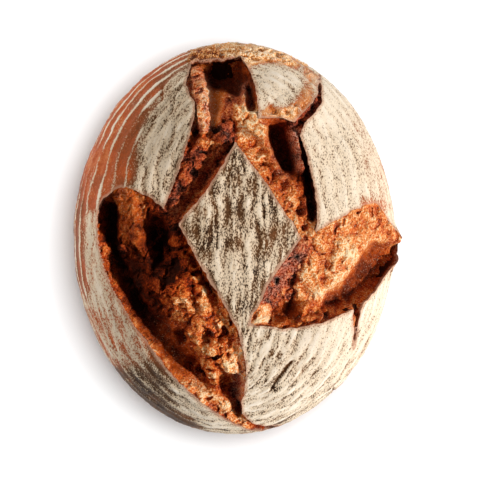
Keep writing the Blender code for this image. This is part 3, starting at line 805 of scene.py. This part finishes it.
def floured_crust():
    """Baked wheat crust: thin, hard and dry, red-brown to dark, under flour baked on in grains.

    The flour lies where its amount beats a fine grain, which is drawn out down the streaks. The grains are
    drawn 0.75 mm across, coarser than real flour, so that they show."""
    material, tree = new_material("floured_baked_crust")
    flour, dark, torn, wave, streaks, slits, rim, near_edge, scabs = (
        add_node(tree, "Attribute", output="Fac", attribute_name=name)
        for name in ("flour", "dark", "torn", "wave", "streaks", "slits", "rim", "near_edge", "scabs")
    )
    place = add_node(tree, "TexCoord", output="Object")
    drawn_out = add_node(tree, "Mapping", {"Vector": place, "Scale": (1, 0.55, 0.8)})
    grain = add_node(
        tree, "TexNoise", {"Vector": drawn_out, "Scale": per_mm(0.75), "Detail": 2.0, "Roughness": 0.6}
    )
    patches = add_node(
        tree, "TexNoise", {"Vector": drawn_out, "Scale": per_mm(6.0), "Detail": 3.0, "Roughness": 0.6}
    )
    blotches = add_node(
        tree, "TexNoise", {"Vector": place, "Scale": per_mm(14.0), "Detail": 4.0, "Roughness": 0.6}
    )

    tone = add_node(tree, "Math", (blotches, 0.7, -0.35), operation="MULTIPLY_ADD")
    tone = add_node(tree, "Math", (grain, 0.5, tone), operation="MULTIPLY_ADD")
    tone = add_node(tree, "Math", (tone, 0.25), operation="SUBTRACT")
    tone = add_node(tree, "Math", (dark, tone), operation="ADD")
    brown = add_node(
        tree,
        "ValToRGB",
        (tone,),
        stops=[(0.0, "#DC9A5A"), (0.3, "#B8541F"), (0.55, "#8A4A24"), (0.8, "#5E3E22"), (1.0, "#2C190C")],
    )
    toast_tone = add_node(tree, "Math", (grain, 2.8, -1.45), operation="MULTIPLY_ADD")
    toast_tone = add_node(tree, "Math", (scabs, 1.0, toast_tone), operation="MULTIPLY_ADD")
    toast_tone = add_node(tree, "Math", (dark, -0.5, toast_tone), operation="MULTIPLY_ADD")
    toast = add_node(
        tree,
        "ValToRGB",
        (toast_tone,),
        stops=[(0.0, "#54200A"), (0.25, "#B25C22"), (0.5, "#E0944C"), (0.8, "#F6CE94"), (1.0, "#FFF0D8")],
    )
    brown = add_node(tree, "Mix", {0: torn, 6: brown, 7: toast}, output=2, data_type="RGBA")

    amount = add_node(tree, "Math", (flour, 0.45, -0.09), operation="MULTIPLY_ADD")
    amount = add_node(tree, "Math", (wave, 0.06, amount), operation="MULTIPLY_ADD")
    amount = add_node(tree, "Math", (streaks, 0.52, amount), operation="MULTIPLY_ADD")
    amount = add_node(tree, "Math", (patches, 0.10, amount), operation="MULTIPLY_ADD")
    amount = add_node(tree, "Math", (near_edge, -0.10, amount), operation="MULTIPLY_ADD")
    amount = add_node(tree, "Math", (slits, -0.4, amount), operation="MULTIPLY_ADD")
    amount = add_node(tree, "Math", (torn, -0.2, amount), operation="MULTIPLY_ADD")
    beats = add_node(tree, "Math", (amount, grain), operation="SUBTRACT")
    covered = add_node(tree, "Math", (beats, 7.0, 0.5), operation="MULTIPLY_ADD", use_clamp=True)
    flour_colour = add_node(
        tree, "ValToRGB", (amount,), stops=[(0.35, "#C6AB8A"), (0.6, "#DDCFB9"), (0.8, "#EBE5DA")]
    )
    outside = add_node(tree, "Mix", {0: covered, 6: brown, 7: flour_colour}, output=2, data_type="RGBA")
    # The crust's cut edge in its own colours, darkening to near black as the fold goes in under the crust:
    # that darkening is painted shade under the ears
    edge_and_fold_shade_colour = add_node(
        tree,
        "ValToRGB",
        (add_node(tree, "Math", (grain, 0.8, rim), operation="MULTIPLY_ADD"),),
        stops=[(0.3, "#5A3322"), (0.46, "#C09A84"), (0.62, "#8A4420"), (0.8, "#4A1C0A"), (1.0, "#2A0E05")],
    )
    edge_line = add_node(tree, "Math", (near_edge, 0.62), operation="MULTIPLY")
    outside = add_node(
        tree, "Mix", {0: edge_line, 6: outside, 7: colour("#CCA48C")}, output=2, data_type="RGBA"
    )
    inside = add_node(tree, "Math", (rim, 40.0), operation="MULTIPLY", use_clamp=True)
    final = add_node(tree, "Mix", {0: inside, 6: outside, 7: edge_and_fold_shade_colour}, output=2, data_type="RGBA")

    height = add_node(tree, "Math", (covered, 0.4, grain), operation="MULTIPLY_ADD")
    bump = add_node(tree, "Bump", {"Height": height, "Distance": 0.4 * MM, "Strength": 0.8})
    roughness = add_node(tree, "Math", (covered, 0.35, 0.55), operation="MULTIPLY_ADD")
    surface = add_node(
        tree,
        "BsdfPrincipled",
        {
            "Base Color": final, "Roughness": roughness, "Normal": bump,
            "IOR": 1.45, "Specular IOR Level": 0.15,
        },
    )
    add_node(tree, "OutputMaterial", {"Surface": surface})
    return material


def baked_crumb():
    """Torn wheat crumb, baked dry: cream to orange-brown and matt. Painted shade darkens it where the tear is
    deep and in its creases, and painted light lightens its crests.

    Where the dough stretched before it tore, a thin amber film shines a little. Grain and glints, which are
    painted highlights, are drawn a little coarser than real ones, 0.8 to 1.2 mm, so that they show."""
    material, tree = new_material("torn_baked_crumb")
    light, amber, dust_and_highlight, crest_light_crease_shade, depth_shade = (
        add_node(tree, "Attribute", output="Fac", attribute_name=name)
        for name in ("light", "amber", "dust_and_highlight", "crest_light_crease_shade", "depth_shade")
    )
    place = add_node(tree, "TexCoord", output="Object")
    grain = add_node(
        tree, "TexNoise", {"Vector": place, "Scale": per_mm(1.2), "Detail": 2.0, "Roughness": 0.65}
    )
    blotches = add_node(
        tree, "TexNoise", {"Vector": place, "Scale": per_mm(6.0), "Detail": 3.0, "Roughness": 0.6}
    )

    tone = add_node(tree, "Math", (grain, 1.4, -0.72), operation="MULTIPLY_ADD")
    tone = add_node(tree, "Math", (blotches, 0.6, tone), operation="MULTIPLY_ADD")
    # Painted light and shade: lighter on crests, darker in creases
    tone = add_node(tree, "Math", (crest_light_crease_shade, 1.0, tone), operation="MULTIPLY_ADD")
    tone = add_node(tree, "Math", (tone, 0.75), operation="SUBTRACT")
    # Painted shade: darker where the tear is deep
    tone = add_node(tree, "Math", (depth_shade, -0.35, tone), operation="MULTIPLY_ADD")
    tone = add_node(tree, "Math", (light, tone), operation="ADD")
    crumb = add_node(
        tree,
        "ValToRGB",
        (tone,),
        stops=[
            (0.0, "#200803"), (0.24, "#6C2007"), (0.48, "#B4430F"),
            (0.70, "#D6742F"), (0.89, "#EDA864"), (1.0, "#FAE0B6"),
        ],
    )
    film_tone = add_node(tree, "Math", (blotches, 1.2, -0.5), operation="MULTIPLY_ADD")
    # Painted shade: the amber film is darker where the tear is deep
    film_tone = add_node(tree, "Math", (depth_shade, -0.5, film_tone), operation="MULTIPLY_ADD")
    film_tone = add_node(tree, "Math", (light, 1.2, film_tone), operation="MULTIPLY_ADD")
    film = add_node(
        tree,
        "ValToRGB",
        (film_tone,),
        stops=[(0.0, "#1C0803"), (0.35, "#581E05"), (0.7, "#A2440A"), (1.0, "#D06A12")],
    )
    film_share = add_node(tree, "Math", (amber, 0.95), operation="MULTIPLY")
    crumb = add_node(tree, "Mix", {0: film_share, 6: crumb, 7: film}, output=2, data_type="RGBA")
    # Pale dust colour where the dust value is high: real flour dust, and on lit ridge edges a painted
    # highlight
    dust_and_highlight_share = add_node(tree, "Math", (grain, 4.0, -1.7), operation="MULTIPLY_ADD", use_clamp=True)
    dust_and_highlight_share = add_node(tree, "Math", (dust_and_highlight_share, dust_and_highlight), operation="MULTIPLY")
    crumb = add_node(tree, "Mix", {0: dust_and_highlight_share, 6: crumb, 7: colour("#D8BBAA")}, output=2, data_type="RGBA")
    # Painted highlights: small cream glints mixed into the colour, only where the crumb is light
    painted_glints = add_node(
        tree, "TexNoise", {"Vector": place, "Scale": per_mm(0.8), "Detail": 1.0, "Roughness": 0.5}
    )
    painted_glints = add_node(tree, "Math", (painted_glints, 9.0, -5.6), operation="MULTIPLY_ADD", use_clamp=True)
    lit = add_node(tree, "Math", (light, 2.0, -0.6), operation="MULTIPLY_ADD", use_clamp=True)
    painted_glints = add_node(tree, "Math", (painted_glints, lit), operation="MULTIPLY")
    final = add_node(tree, "Mix", {0: painted_glints, 6: crumb, 7: colour("#FBE3C4")}, output=2, data_type="RGBA")
    bump = add_node(tree, "Bump", {"Height": grain, "Distance": 1.6 * MM, "Strength": 1.0})
    roughness = add_node(tree, "Math", (amber, -0.3, 0.72), operation="MULTIPLY_ADD")
    surface = add_node(
        tree,
        "BsdfPrincipled",
        {
            "Base Color": final, "Roughness": roughness, "Normal": bump,
            "IOR": 1.45, "Specular IOR Level": 0.12,
        },
    )
    add_node(tree, "OutputMaterial", {"Surface": surface})
    return material


# ---------------------------------------------------------------- stage, lights and camera

def white_floor():
    """A plain sheet of matt white card under the loaf, a little below the base so that the two don't meet."""
    mesh = bpy.data.meshes.new("white_floor")
    half, low = 4.0, -0.3 * MM
    corners = [(-half, -half, low), (half, -half, low), (half, half, low), (-half, half, low)]
    mesh.from_pydata(corners, [], [(0, 1, 2, 3)])
    floor = bpy.data.objects.new("white_floor", mesh)
    bpy.context.scene.collection.objects.link(floor)
    material, tree = new_material("white_card")
    surface = add_node(tree, "BsdfPrincipled", {"Base Color": colour("#F5F6F7"), "Roughness": 0.9})
    add_node(tree, "OutputMaterial", {"Surface": surface})
    mesh.materials.append(material)
    return floor


def aimed(thing, azimuth, elevation, distance):
    """Puts a light or camera at a heading from +X and a height angle, in degrees, looking at the loaf."""
    a, e = math.radians(azimuth), math.radians(elevation)
    thing.location = (
        distance * math.cos(a) * math.cos(e),
        distance * math.sin(a) * math.cos(e),
        distance * math.sin(e),
    )
    thing.rotation_euler = thing.location.to_track_quat("Z", "Y").to_euler()


def add_light(name, kind, energy, code, azimuth, elevation, distance, lit, **settings):
    """A light that shines only on the objects of one collection."""
    light = bpy.data.lights.new(name, kind)
    light.energy = energy
    light.color = colour(code)[:3]
    for setting, value in settings.items():
        setattr(light, setting, value)
    holder = bpy.data.objects.new(name, light)
    bpy.context.scene.collection.objects.link(holder)
    aimed(holder, azimuth, elevation, distance)
    holder.light_linking.receiver_collection = lit
    return holder


def collection_of(name, *objects):
    """A collection that holds these objects, outside the scene's own."""
    collection = bpy.data.collections.new(name)
    for thing in objects:
        collection.objects.link(thing)
    return collection


def light_and_camera(loaf_pieces, floor):
    """A hard warm key low on the right, a soft fill from the upper left, and an even light on the floor.

    The camera looks straight down, and its lens gives this field of view at the loaf's waist."""
    on_loaf = collection_of("lit_loaf", *loaf_pieces)
    on_floor = collection_of("lit_floor", floor)
    add_light("key", "SUN", 4.2, "#FFF5EC", -18, 31, 3.0, on_loaf, angle=math.radians(3))
    add_light("fill", "SUN", 1.6, "#FFECD6", 150, 28, 3.0, on_loaf, angle=math.radians(40))
    add_light("floor_light", "AREA", 69.0, "#FFFFFF", 20, 80, 2.2, on_floor, size=1.4)
    world = bpy.data.worlds.new("studio")
    world.use_nodes = True
    world.node_tree.nodes["Background"].inputs["Color"].default_value = colour("#FFFFFF")
    world.node_tree.nodes["Background"].inputs["Strength"].default_value = 0.16
    bpy.context.scene.world = world
    bpy.context.scene.view_settings.view_transform = "Standard"

    camera = bpy.data.cameras.new("camera")
    holder = bpy.data.objects.new("camera", camera)
    bpy.context.scene.collection.objects.link(holder)
    distance = 3.0
    field = 0.2909
    camera.sensor_width = 36.0
    camera.lens = camera.sensor_width * (distance - WAIST * MM) / field
    holder.location = (3.6 * MM, -0.9 * MM, distance)
    bpy.context.scene.camera = holder


def main():
    crust = crust_piece(floured_crust())
    crumb = crumb_piece(baked_crumb())
    for piece in (crust, crumb):
        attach(piece, "root")
        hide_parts("sourdough_loaf")
    light_and_camera([crust, crumb], white_floor())


main()
